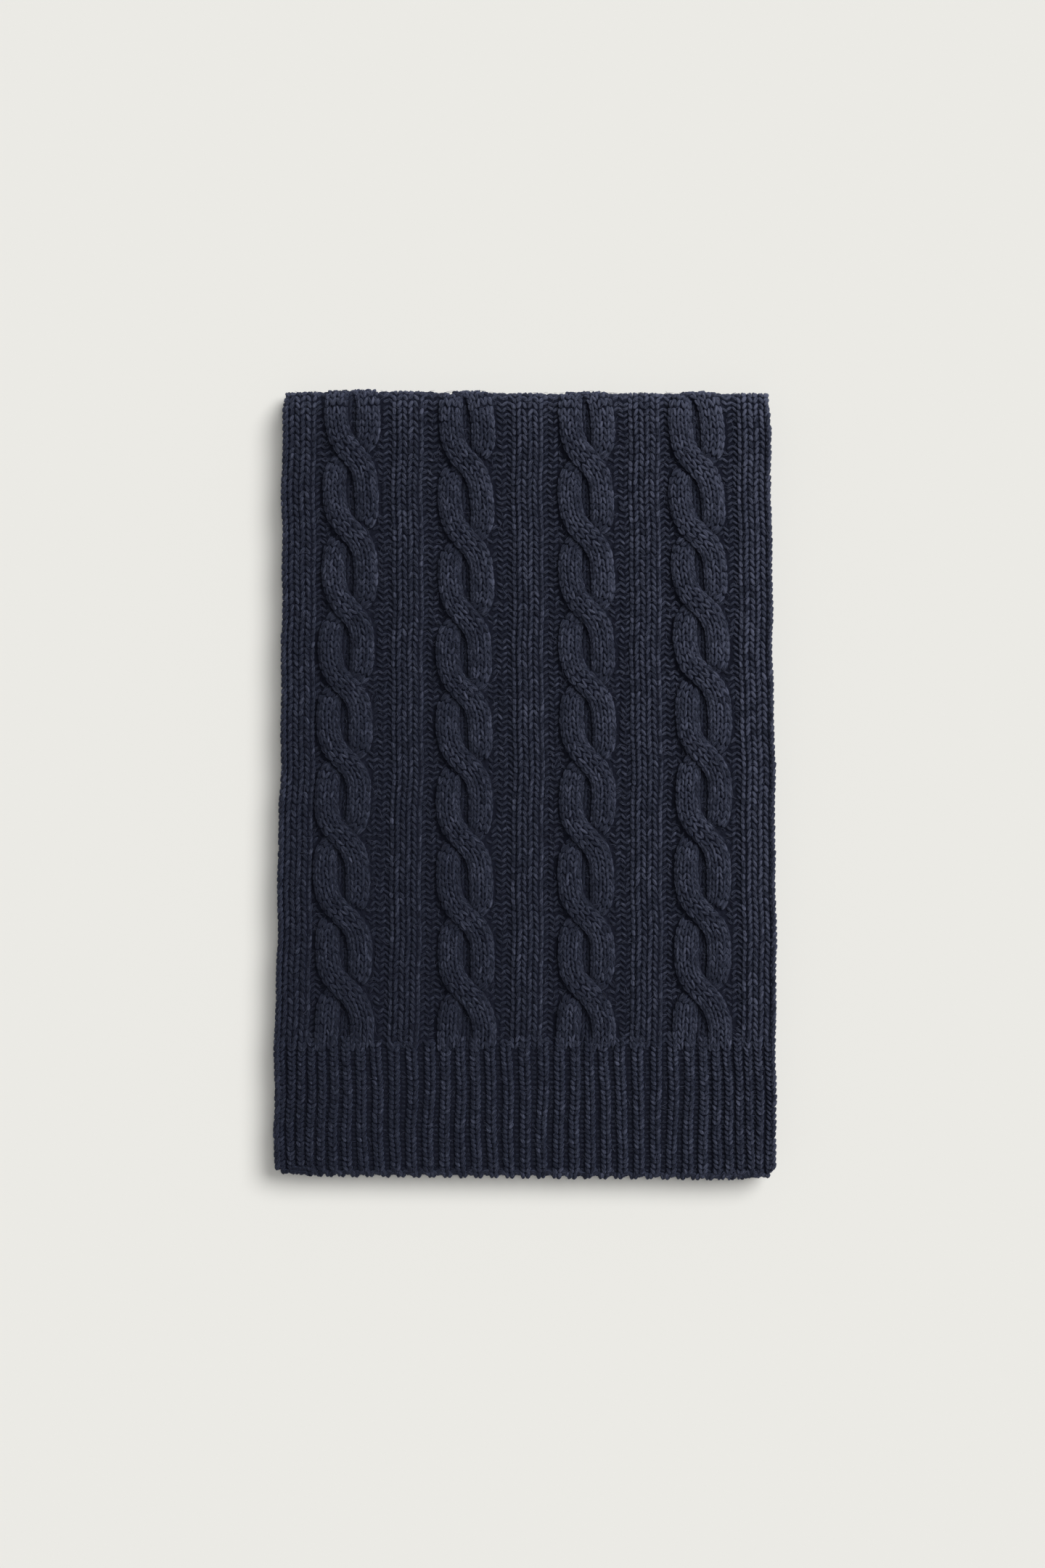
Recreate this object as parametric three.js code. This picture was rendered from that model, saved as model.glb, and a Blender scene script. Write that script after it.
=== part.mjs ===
// Chunky cable-knit scarf, folded twice so that four plies lie on each other, flat on a surface.
// Millimetres, +Z up. -Y is the end where the ribbed hem lies, +Y the far fold, X runs across the scarf.
// The top ply is one knitted wall: four cables, three plain panels, two borders and the ribbed hem are raised
// in its outer points, and it turns over the far fold down to the surface. The three plies under it are one
// solid that is layered at its edges, with their own folds at the near and the far end.
import * as THREE from "three";

// Driving sizes
const FOLDED_LENGTH = 450; // hem to far fold
const NOMINAL_WIDTH = 280; // the stitch layout below is drawn at this width
const PLY = 5; // one hidden ply, pressed
const PLY_GAP = 0.3; // between the top ply and what it lies on
const HIDDEN_PLIES = 3;
const GROUND = 3.0; // wall thickness in the purl gutters
const PLAIN_RISE = 2.0; // panels, borders and ribs stand this far above the gutters
const SHOULDER = 2.4; // width of the slope beside a panel
const HEM_LENGTH = 77; // ribbed part
const HEM_JOIN = 3; // ribs run into the body's relief over this length on each side of that
const HEM_ROUND = 1.6; // the hem's edge rounds off over this length
const HEM_CORNER = 6; // plan radius of the hem's two corners
const RIBS_BESIDE_MIDDLE = 17; // on each side of the middle rib
const RIB_PITCH = 9.2;
const RIB_PITCH_AT_EDGE = 5.4; // ribs pull together towards the two sides
const RIBS_NARROW = { from: 9.5, over: 5.5 }; // counted in ribs from the middle
const CABLE_PITCH = 42.96; // from one crossing to the next, twelve courses
const CABLE_HALF_WIDTH = 16.4;
const STRAND_SWING = 9.6; // strand centre from the cable's centre
const STRAND_TURN = 10.8; // length over which a strand crosses
const STRAND_HALF_WIDTH = 7.6;
const STRAND_TOP = 4.3; // height of a strand above the gutter, halfway between crossings
const STRAND_OVER = 1.8; // the front strand stands this much higher at a crossing, the back one lower

const STACK = PLY * HIDDEN_PLIES; // top of the hidden plies
const INNER_Z = STACK + PLY_GAP; // inside of the top ply
const FOLD_RADIUS = PLY + PLY_GAP; // inside of the far fold
const FOLD_Z = 2 * PLY; // height of the far fold's axis
const FOLD_WALL = PLY - PLY_GAP; // wall once the fold has pressed the relief flat
const FOLD_RELIEF = 0.3; // share of the relief left where the fold stands out furthest
const FOLD_SWELL = 1.3; // the cables stand this much out of the fold
const FOLD_REACH = FOLD_RADIUS + FOLD_WALL + FOLD_SWELL; // from the fold's axis to the far end
const HALF = FOLDED_LENGTH / 2;
const FOLD_Y = HALF - FOLD_REACH;
const FLAT_LENGTH = FOLD_Y + HALF; // hem to the start of the fold
const FOLD_LENGTH = Math.PI * (FOLD_RADIUS + FOLD_WALL / 2); // measured in the middle of the wall
const TAIL = 8; // the top ply ends this far behind the fold, against the surface

// How finely the top ply and the hidden plies are divided
const ROWS_PER_CABLE_PITCH = 7;
const FOLD_STEPS = 8;
const CORNER_STEPS = 3;
const SIDE_STEPS = 10;
const END_STEPS = 4;
const LEVELS_IN_A_PLY = [0.004, 0.12, 0.3, 0.5, 0.7, 0.88, 0.996];

// The two sides, from the hem to the fold: a little wider at the hem, as the ribs spread.
const SIDES = [
  { from_hem: 0, left: -143.4, right: 143.4 },
  { from_hem: 25, left: -144, right: 143.8 },
  { from_hem: 75, left: -143.2, right: 144 },
  { from_hem: 130, left: -142.2, right: 143.9 },
  { from_hem: 225, left: -140.3, right: 143.2 },
  { from_hem: 300, left: -139.0, right: 142.0 },
  { from_hem: 375, left: -139.2, right: 141.2 },
  { from_hem: 425, left: -138.2, right: 140.7 },
  { from_hem: 475, left: -137.0, right: 138.8 },
];

// Across the scarf at its nominal width. first_crossing is measured from the hem.
const CABLES = [
  { centre: -102.5, first_crossing: 110.2 },
  { centre: -34.2, first_crossing: 107.2 },
  { centre: 35.4, first_crossing: 109.8 },
  { centre: 101.2, first_crossing: 112.2 },
];
const PANELS = [
  { centre: -68.7, half_width: 8.9 },
  { centre: 0.4, half_width: 8.9 },
  { centre: 67.9, half_width: 8.9 },
];
const BORDER = { inner_edge: 121.7, edge_round: 4, edge_height: 1.6 };

// Across one rib, as shares of its pitch from the crest's middle: where its height changes.
const RIB_SHAPE = [
  { at: 0.22, rise: 1 },
  { at: 0.4, rise: 0.1 },
  { at: 0.6, rise: 0.1 },
  { at: 0.78, rise: 1 },
];

// How far the sides of the hidden plies lie inside the top ply's, from the surface up.
const SIDE_INSETS = { bottom: 1.2, third: 2.0, second: 0.9 };
const GROOVE = 2.6; // depth of the groove between two plies
const NOSE_INSET = 3.2; // near fold of the two lowest plies, from the hem's edge
const SECOND_HEM_INSET = 2.0; // the second ply's own hem, from the top one's
const CORNER = 7; // plan radius of the hidden plies' corners

const smooth = (t) => {
  const c = THREE.MathUtils.clamp(t, 0, 1);
  return c * c * (3 - 2 * c);
};

function side(from_hem, name) {
  const upper = Math.max(1, SIDES.findIndex((row) => row.from_hem >= from_hem));
  const [a, b] = [SIDES[upper - 1], SIDES[upper]];
  const t = (from_hem - a.from_hem) / (b.from_hem - a.from_hem);
  return THREE.MathUtils.lerp(a[name], b[name], THREE.MathUtils.clamp(t, 0, 1));
}

// Nominal place across the scarf to the real one, with the hem's corners rounded off.
function acrossAt(q, from_hem) {
  const cut = Math.max(0, HEM_CORNER - from_hem);
  const corner = HEM_CORNER - Math.sqrt(HEM_CORNER ** 2 - cut ** 2);
  const [left, right] = [side(from_hem, "left") + corner, side(from_hem, "right") - corner];
  return THREE.MathUtils.lerp(left, right, q / NOMINAL_WIDTH + 0.5);
}

// Height of one strand over the gutter. v is the distance past a crossing where this strand lies in front.
function strandHeight(offset, v) {
  const cycle = 2 * CABLE_PITCH;
  const phase = v - cycle * Math.round(v / cycle); // front crossing at 0, back crossings at one pitch
  const infront = Math.abs(phase) <= CABLE_PITCH / 2;
  const back = Math.abs(phase) - CABLE_PITCH;
  const centre = infront
    ? -STRAND_SWING * Math.tanh(phase / STRAND_TURN)
    : STRAND_SWING * Math.sign(phase) * Math.tanh(back / STRAND_TURN);
  const top = STRAND_TOP + STRAND_OVER * Math.cos((Math.PI * phase) / CABLE_PITCH);
  const across = (offset - centre) / STRAND_HALF_WIDTH;
  return Math.abs(across) < 1 ? top * Math.sqrt(1 - across * across) : 0;
}

function cableHeight(q, from_hem) {
  for (const cable of CABLES) {
    const offset = q - cable.centre;
    if (Math.abs(offset) >= CABLE_HALF_WIDTH) continue;
    const v = from_hem - cable.first_crossing;
    return Math.max(strandHeight(offset, v), strandHeight(offset, v - CABLE_PITCH));
  }
  return 0;
}

function plainHeight(q) {
  for (const panel of PANELS) {
    const inside = panel.half_width - Math.abs(q - panel.centre);
    if (inside > 0) return PLAIN_RISE * smooth(inside / SHOULDER);
  }
  return PLAIN_RISE * smooth((Math.abs(q) - BORDER.inner_edge) / SHOULDER);
}

// Wall thickness towards the two sides, where the border rounds off to its edge.
function roundedAtSides(q, height) {
  const inside = THREE.MathUtils.clamp((NOMINAL_WIDTH / 2 - Math.abs(q)) / BORDER.edge_round, 0, 1);
  return THREE.MathUtils.lerp(BORDER.edge_height, height, Math.sqrt(1 - (1 - inside) ** 2));
}

function bodyWall(q, from_hem) {
  const relief = Math.max(cableHeight(q, from_hem), plainHeight(q));
  const full = roundedAtSides(q, GROUND + relief);
  const turned = THREE.MathUtils.clamp((from_hem - FLAT_LENGTH) / FOLD_LENGTH, 0, 1);
  const kept = turned < 0.5
    ? THREE.MathUtils.lerp(1, FOLD_RELIEF, smooth(turned * 2))
    : FOLD_RELIEF * (1 - smooth(turned * 2 - 1));
  return THREE.MathUtils.lerp(FOLD_WALL, full, kept);
}

// Crests and pitches of the ribs from the middle one to the side, fitted to the nominal width.
function ribPlaces() {
  const pitches = [];
  for (let rib = 0; rib <= RIBS_BESIDE_MIDDLE; rib += 1) {
    const narrowed = smooth((rib - RIBS_NARROW.from) / RIBS_NARROW.over);
    pitches.push(THREE.MathUtils.lerp(RIB_PITCH, RIB_PITCH_AT_EDGE, narrowed));
  }
  const total = pitches.reduce((sum, pitch) => sum + pitch, 0) - pitches[0] / 2;
  const fitted = NOMINAL_WIDTH / 2 / total;
  let crest = 0;
  return pitches.map((pitch, rib) => {
    if (rib > 0) crest += ((pitches[rib - 1] + pitch) / 2) * fitted;
    return { crest, pitch: pitch * fitted };
  });
}

// The hem's columns, mirrored about the middle rib, out to the two sides.
function hemColumns() {
  const half = NOMINAL_WIDTH / 2;
  const right = [];
  for (const { crest, pitch } of ribPlaces())
    for (const { at, rise } of RIB_SHAPE)
      if (crest + at * pitch < half) right.push({ q: crest + at * pitch, rise });
  right.push({ q: half, rise: 0 });
  const left = right.map(({ q, rise }) => ({ q: -q, rise })).reverse();
  return [...left, ...right];
}

function bodyColumns() {
  const half = NOMINAL_WIDTH / 2;
  const edge = BORDER.edge_round;
  const border = [half, half - 0.3 * edge, half - edge, BORDER.inner_edge + SHOULDER, BORDER.inner_edge];
  const across_cable = [1, 0.86, 0.64, 0.42, 0.2, 0].map((share) => share * CABLE_HALF_WIDTH);
  const columns = [...border.map((q) => -q), ...border];
  for (const { centre } of CABLES)
    for (const offset of across_cable)
      columns.push(...(offset > 0 ? [centre - offset, centre + offset] : [centre]));
  for (const { centre, half_width } of PANELS)
    for (const offset of [half_width, half_width - SHOULDER]) columns.push(centre - offset, centre + offset);
  return columns.sort((a, b) => a - b);
}

// A closed surface is collected as points and triangles.
class Surface {
  points = [];
  faces = [];

  point(x, y, z) {
    this.points.push(x, y, z);
    return this.points.length / 3 - 1;
  }

  face(a, b, c) {
    this.faces.push(a, b, c);
  }

  // Joins two rows of points that start and end beside each other, whatever their counts.
  // at gives a point's place along its row, and flip turns the faces round.
  join(lower, upper, at, flip = false) {
    let [i, j] = [0, 0];
    while (i < lower.length - 1 || j < upper.length - 1) {
      const step_lower = j === upper.length - 1
        || (i < lower.length - 1 && at(lower[i + 1]) + at(lower[i]) <= at(upper[j + 1]) + at(upper[j]));
      const third = step_lower ? lower[i + 1] : upper[j + 1];
      if (flip) this.face(lower[i], upper[j], third);
      else this.face(lower[i], third, upper[j]);
      if (step_lower) i += 1;
      else j += 1;
    }
  }

  geometry() {
    const made = new THREE.BufferGeometry();
    made.setAttribute("position", new THREE.Float32BufferAttribute(this.points, 3));
    made.setIndex(this.faces);
    made.computeVertexNormals();
    return made;
  }
}

// A point of the top ply: height is measured out of its plain inside.
function plyPoint(x, from_hem, height) {
  if (from_hem <= FLAT_LENGTH) return [x, from_hem - HALF, INNER_Z + height];
  const turn = Math.min(1, (from_hem - FLAT_LENGTH) / FOLD_LENGTH) * Math.PI;
  const radius = FOLD_RADIUS + height;
  const past = Math.max(0, from_hem - FLAT_LENGTH - FOLD_LENGTH);
  return [x, FOLD_Y + radius * Math.sin(turn) - past, FOLD_Z + radius * Math.cos(turn)];
}

function topPly() {
  const surface = new Surface();
  const across = new Map();
  const along = new Map();
  const row = (columns, from_hem, height) => columns.map(({ q, rise }) => {
    const index = surface.point(...plyPoint(acrossAt(q, from_hem), from_hem, height(q, rise)));
    across.set(index, q);
    along.set(index, from_hem);
    return index;
  });

  const hem_columns = hemColumns();
  const body_columns = bodyColumns().map((q) => ({ q }));
  const inner_columns = [-0.5, -0.25, 0, 0.25, 0.5].map((share) => ({ q: share * NOMINAL_WIDTH }));
  const rib = (full) => (q, rise) => roundedAtSides(q, full * (GROUND + PLAIN_RISE * rise));
  const hem_rows = [
    { from_hem: 0, full: 0.55 },
    { from_hem: HEM_ROUND, full: 0.95 },
    { from_hem: HEM_CORNER, full: 1 },
    { from_hem: HEM_LENGTH / 2, full: 1 },
    { from_hem: HEM_LENGTH - HEM_JOIN, full: 1 },
  ];
  const body_start = HEM_LENGTH + HEM_JOIN;
  const body_rows = Math.round((FLAT_LENGTH - body_start) / (CABLE_PITCH / ROWS_PER_CABLE_PITCH));
  const evenly = (start, length, steps) =>
    Array.from({ length: steps + 1 }, (_, step) => start + (length * step) / steps);
  const flat_places = evenly(body_start, FLAT_LENGTH - body_start, body_rows);
  const fold_places = evenly(FLAT_LENGTH, FOLD_LENGTH, FOLD_STEPS);
  const tail_place = FLAT_LENGTH + FOLD_LENGTH + TAIL;

  const outer = [
    ...hem_rows.map(({ from_hem, full }) => row(hem_columns, from_hem, rib(full))),
    ...[...flat_places.slice(0, -1), ...fold_places, tail_place].map((from_hem) =>
      row(body_columns, from_hem, (q) => bodyWall(q, from_hem))),
  ];
  const side_places = SIDES.map(({ from_hem }) => from_hem).filter((s) => s > HEM_CORNER && s < FLAT_LENGTH);
  const inner = [0, HEM_ROUND, HEM_CORNER, ...side_places, ...fold_places, tail_place].map((from_hem) =>
    row(inner_columns, from_hem, () => 0));

  const byAcross = (index) => across.get(index);
  const byAlong = (index) => along.get(index);
  for (let i = 1; i < outer.length; i += 1) surface.join(outer[i - 1], outer[i], byAcross);
  for (let i = 1; i < inner.length; i += 1) surface.join(inner[i - 1], inner[i], byAcross, true);
  surface.join(outer[0], inner[0], byAcross, true);
  surface.join(outer.at(-1), inner.at(-1), byAcross);
  surface.join(outer.map((r) => r[0]), inner.map((r) => r[0]), byAlong);
  surface.join(outer.map((r) => r.at(-1)), inner.map((r) => r.at(-1)), byAlong, true);
  return surface.geometry();
}

// One level of the hidden plies: its inset from the top ply's sides and from the hem, and where it ends.
function hiddenLevel(z) {
  const ply = Math.min(HIDDEN_PLIES - 1, Math.floor(z / PLY));
  const from_middle = Math.abs(z - (ply + 0.5) * PLY) / (PLY / 2);
  const lobe = GROOVE * (1 - Math.sqrt(Math.max(0, 1 - from_middle ** 2)));
  const round = (axis_z) => PLY - Math.sqrt(Math.max(0, PLY ** 2 - (z - axis_z) ** 2));
  return {
    side: Object.values(SIDE_INSETS)[ply] + lobe,
    near: z < 2 * PLY ? NOSE_INSET + round(PLY) : SECOND_HEM_INSET + lobe,
    far: z < PLY ? FOLD_Y - TAIL - PLY_GAP : FOLD_Y + PLY - round(FOLD_Z),
  };
}

// The outline of one level as a loop seen from above, anticlockwise from the near left corner.
function outline({ side: inset, near, far }) {
  const xAt = (name, y) => side(y + HALF, name) + (name === "left" ? inset : -inset);
  const corners = [
    { name: "left", y: near - HALF, inward: [1, 1] },
    { name: "right", y: near - HALF, inward: [-1, 1] },
    { name: "right", y: far, inward: [-1, -1] },
    { name: "left", y: far, inward: [1, -1] },
  ].map(({ name, y, inward }) => ({
    name,
    centre: new THREE.Vector2(xAt(name, y) + CORNER * inward[0], y + CORNER * inward[1]),
  }));
  const loop = [];
  corners.forEach(({ name, centre }, turn) => {
    for (let step = 0; step <= CORNER_STEPS; step += 1) {
      const angle = Math.PI + (Math.PI / 2) * (turn + step / CORNER_STEPS);
      loop.push(new THREE.Vector2(CORNER, 0).rotateAround(new THREE.Vector2(), angle).add(centre));
    }
    const next = corners[(turn + 1) % corners.length];
    const steps = name === next.name ? SIDE_STEPS : END_STEPS;
    for (let step = 1; step < steps; step += 1) {
      const point = centre.clone().lerp(next.centre, step / steps);
      if (name === next.name) point.x = xAt(name, point.y);
      else point.y = loop.at(-1).y;
      loop.push(point);
    }
  });
  return loop;
}

function hiddenPlies() {
  const surface = new Surface();
  const levels = [];
  for (let ply = 0; ply < HIDDEN_PLIES; ply += 1)
    for (const share of LEVELS_IN_A_PLY) levels.push((ply + share) * PLY);
  const loops = levels.map((z, level) => {
    const height = level === 0 ? 0 : level === levels.length - 1 ? STACK : z;
    return outline(hiddenLevel(z)).map(({ x, y }) => surface.point(x, y, height));
  });
  const count = loops[0].length;
  for (let i = 1; i < loops.length; i += 1)
    for (let k = 0; k < count; k += 1) {
      const next = (k + 1) % count;
      surface.face(loops[i - 1][k], loops[i - 1][next], loops[i][next]);
      surface.face(loops[i - 1][k], loops[i][next], loops[i][k]);
    }
  const cap = (loop, up) => {
    const flat = loop.map((index) => new THREE.Vector2(...surface.points.slice(3 * index, 3 * index + 2)));
    for (const [a, b, c] of THREE.ShapeUtils.triangulateShape(flat, []))
      surface.face(...(up ? [loop[a], loop[b], loop[c]] : [loop[a], loop[c], loop[b]]));
  };
  cap(loops[0], false);
  cap(loops.at(-1), true);
  return surface.geometry();
}

const knitWool = () => new THREE.MeshStandardMaterial({ color: 0x23263a, roughness: 0.95, metalness: 0 });

function named(name, geometry) {
  const mesh = new THREE.Mesh(geometry, knitWool());
  mesh.name = name;
  return mesh;
}

const scarf = new THREE.Group();
scarf.add(named("top_ply", topPly()), named("hidden_plies", hiddenPlies()));

// The origin is on the surface, under the middle of the folded scarf.
const extent = new THREE.Box3().setFromObject(scarf);
const middle = extent.getCenter(new THREE.Vector3());
scarf.position.set(-middle.x, -middle.y, -extent.min.z);

export default scarf;
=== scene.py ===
"""A chunky cable-knit scarf, folded twice and laid flat, seen from straight above.

Every stitch that shows is a piece of yarn: the two legs of a knit stitch or the bump of a purl stitch, laid on
the same form as the solids of the frame. Under the stitches lies the ground of the cloth, one wall for the top
ply and one layered solid for the plies under it. Lengths are millimetres until a mesh is made.
"""

import bmesh
import bpy
import numpy as np
from mathutils import Matrix, Vector


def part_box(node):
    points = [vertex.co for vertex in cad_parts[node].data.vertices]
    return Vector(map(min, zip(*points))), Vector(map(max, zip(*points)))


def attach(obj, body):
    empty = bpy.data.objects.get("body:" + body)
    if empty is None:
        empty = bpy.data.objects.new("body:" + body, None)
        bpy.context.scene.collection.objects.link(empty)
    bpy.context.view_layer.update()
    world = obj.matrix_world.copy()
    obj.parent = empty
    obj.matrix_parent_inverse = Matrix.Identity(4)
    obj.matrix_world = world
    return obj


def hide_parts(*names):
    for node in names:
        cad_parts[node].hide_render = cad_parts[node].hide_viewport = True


bl_info = {
    "name": "Folded cable-knit scarf",
    "version": (1, 0, 0),
    "blender": (4, 5, 0),
    "location": "View3D > Sidebar > Scarf",
    "description": "Lays the stitches of a folded cable-knit scarf, and its stage",
    "category": "Add Mesh",
}

MM = 0.001
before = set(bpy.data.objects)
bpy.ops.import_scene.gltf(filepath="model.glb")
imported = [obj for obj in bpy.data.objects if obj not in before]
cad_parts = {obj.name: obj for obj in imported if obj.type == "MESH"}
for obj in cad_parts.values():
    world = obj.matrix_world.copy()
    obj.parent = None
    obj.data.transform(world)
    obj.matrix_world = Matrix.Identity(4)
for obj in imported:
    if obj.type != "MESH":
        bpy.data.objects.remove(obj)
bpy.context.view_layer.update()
TOP_LOW, TOP_HIGH = (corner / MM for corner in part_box("top_ply"))
HIDDEN_LOW, HIDDEN_HIGH = (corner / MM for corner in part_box("hidden_plies"))

# The folded form, the same as the solids of the frame
HALF = (TOP_HIGH.y - TOP_LOW.y) / 2  # from the middle to the hem and to the far fold
NOMINAL_WIDTH = 280  # the stitch layout is drawn at this width
PLY = HIDDEN_HIGH.z / 3
PLY_GAP = 0.3
INNER_Z = HIDDEN_HIGH.z + PLY_GAP
FOLD_RADIUS = PLY + PLY_GAP
FOLD_WALL = PLY - PLY_GAP
FOLD_Z = 2 * PLY
FOLD_Y = HIDDEN_HIGH.y - PLY
FOLD_RELIEF = 0.12
FOLD_SURFACE = 7.0  # height of the knit's surface there, where the stitches stand out from the wall
FOLD_PAINTED_LIGHT = {"by": 0.32, "over": 13}  # painted light: the tone is lifted along the far fold, where the rolled cloth turns towards the light
FOLD_BULGE = {"all over": 0.3, "most": 1.3, "at": -85, "over": 50}  # the fold isn't quite straight
HEM_SKEW = 0.0085  # the hem runs out of square by this much for each mm across
FLAT_LENGTH = FOLD_Y + HALF
FOLD_LENGTH = np.pi * (FOLD_RADIUS + FOLD_WALL / 2)
NEAR_NOSE_Y = PLY + 3.2 - HALF  # axis of the near fold, of the two lowest plies
SECOND_HEM_Y = 4.4 - HALF  # where the second ply's hem starts to round off
OVER_FLOOR = 0.05  # nothing reaches lower than this

# Height of the knit over the plain inside of the top ply
GROUND = 3.0
PLAIN_RISE = 2.0
SHOULDER = 2.4
EDGE_ROUND = 4
SIDE_DROP = {"by": 1.7, "over": 20}  # the borders sink a little towards the sides
EDGE_HEIGHT = 1.6
HEM_CORNER = 6
CORNER_LEFT_OPEN = 2.2  # the side's stitches begin this far on, as the hem's corner turns in
HEM_LENGTH = 77
JOIN = {"under": 3, "over": 14, "level": 0.45}  # the cables rise out of the ribs from that much under their upper end
HEM_AXIS = {"from_hem": 2.0, "height": 2.4}  # the hem's edge is a half round about this line

SIDES = np.array(
    [(0, -142.3, 143.4), (25, -142.9, 143.7), (75, -142.0, 143.9), (130, -141.1, 143.8), (225, -139.1, 143.2),
     (300, -138.0, 142.0), (375, -138.0, 141.2), (425, -137.6, 140.9), (475, -137.0, 139.2)],
    dtype=[("from_hem", float), ("left", float), ("right", float)],
)
# Each cable's middle and the distance from the hem, at each of its crossings
CABLES = [
    {"middle": [-101, -103, -104, -103.5, -103, -101.5, -100, -99.5],
     "from_hem": [108.8, 151, 195.9, 239.7, 282.6, 325.2, 370.2, 415.1]},
    {"middle": [-32.2, -33.2, -34.2, -34.7, -35.2, -34.2, -33.7, -33.2],
     "from_hem": [106.2, 149.2, 193.3, 237.1, 278.8, 321.4, 365.2, 410.1]},
    {"middle": [34.9, 34.9, 34.9, 35.9, 35.9, 35.4, 35.4, 35.9],
     "from_hem": [107.2, 149.4, 195.1, 238.9, 282.6, 325.2, 368.2, 411.5]},
    {"middle": [100.2, 100.7, 101.2, 101.7, 102.2, 100.7, 99.7, 99.2],
     "from_hem": [106.8, 151, 197.5, 242.5, 287.4, 328.4, 368.2, 409.1]},
]
CABLE_PITCH = 42.96
STRAND_MIDDLE = -1.2  # the strands cross this far beside the cable's middle
STRAND_SWING = 9.4
STRAND_TURN = {"in front": 9.6, "behind": 5.5}
STRAND_HALF_WIDTH = 6.9
STRAND_NARROWS = {"by": 0.3, "over": 7}  # where it goes behind the other one
STRAND_TOP = 4.5
STRAND_OVER = 1.7
STRAND_UNDER = 3.2
STRAND_LIFT = 2.2  # a strand's sides stand this much over the ground where it lies on the other one
STRAND_PAINTED_SHADE = {"by": 0.45, "over": 9}  # painted shade: its tone is darkened this much where it goes behind the other one, as it takes less light there
STRAND_PAINTED_LIGHT = 0.14  # painted light: the strands stand up highest and catch more light, so their tone is lifted this much
STRAND_PAINTED_RIM_LIGHT = 0.35  # painted light: lifted more along its outer side where it lies on the right, facing the light
LAST_SPREAD = 1.5  # under the last crossing the right strand runs out this much more, into the ribs
CABLE_HALF_WIDTH = 18
CABLE_SPACING = 68  # and half of it from the middle to the nearest
PANEL_CENTRES = [-68.7, 0.4, 67.9]
PANEL_HALF_WIDTH = 8.9
BORDER_INNER_EDGE = 121.7
# Purl ground between the raised parts, running a little way in under the cables
GUTTERS = [(-121.6, -111), (-94, -77.4), (-60, -43), (-26, -8.4), (9.2, 27), (44, 59.1), (76.8, 92.5), (110, 121.8)]
RIBS_BESIDE_MIDDLE = 17
RIB_PITCH = 9.2
RIB_PITCH_AT_EDGE = 5.4
RIBS_NARROW = {"from": 9.5, "over": 5.5}
RIB_VALLEY = 2.9
RIBS_DRAWN = 1.5

ROOT = "root"


def smooth(t):
    """Eases from 0 to 1 as t does."""
    c = np.clip(t, 0, 1)
    return c * c * (3 - 2 * c)


def mix(a, b, t):
    return a + (b - a) * t


def linear(hex_colour, alpha=1.0):
    """An sRGB hex colour, such as "1c2030", as linear red, green, blue and alpha."""
    channels = [int(hex_colour[i:i + 2], 16) / 255 for i in (0, 2, 4)]
    return [c / 12.92 if c <= 0.04045 else ((c + 0.055) / 1.055) ** 2.4 for c in channels] + [alpha]


# Form of the top ply

def side_x(from_hem, name):
    return np.interp(from_hem, SIDES["from_hem"], SIDES[name])


def across(q, from_hem):
    """Nominal place across the scarf to the real one, with the hem's corners rounded off."""
    cut = np.clip(HEM_CORNER - from_hem, 0, HEM_CORNER)
    corner = HEM_CORNER - np.sqrt(HEM_CORNER**2 - cut**2)
    wave = 0.35 * np.sin(from_hem / 17.0) + 0.3 * np.sin(from_hem / 7.3 + 1)
    left = side_x(from_hem, "left") + corner + wave
    right = side_x(from_hem, "right") - corner + 0.8 * wave
    return mix(left, right, q / NOMINAL_WIDTH + 0.5)


def plain_rise(q):
    """Height over the gutters of the panels and borders."""
    rise = smooth((np.abs(q) - BORDER_INNER_EDGE) / SHOULDER)
    for centre in PANEL_CENTRES:
        rise = np.maximum(rise, smooth((PANEL_HALF_WIDTH - np.abs(q - centre)) / SHOULDER))
    return PLAIN_RISE * rise


def swing(above, up_is, turn):
    """Place across of a strand this far above a crossing, when its upper part lies on the side that is given."""
    return STRAND_MIDDLE + up_is * STRAND_SWING * np.tanh(above / turn)


def cable_course(from_hem, cable):
    """A cable's middle, and how far above its first crossing a place would be if they were evenly spaced."""
    known = cable["from_hem"]
    crossings = [known[0] - CABLE_PITCH, *known, known[-1] + CABLE_PITCH, known[-1] + 2 * CABLE_PITCH]
    even = CABLE_PITCH * np.arange(-1, len(known) + 2)
    return np.interp(from_hem, known, cable["middle"]), np.interp(from_hem, crossings, even)


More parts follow.
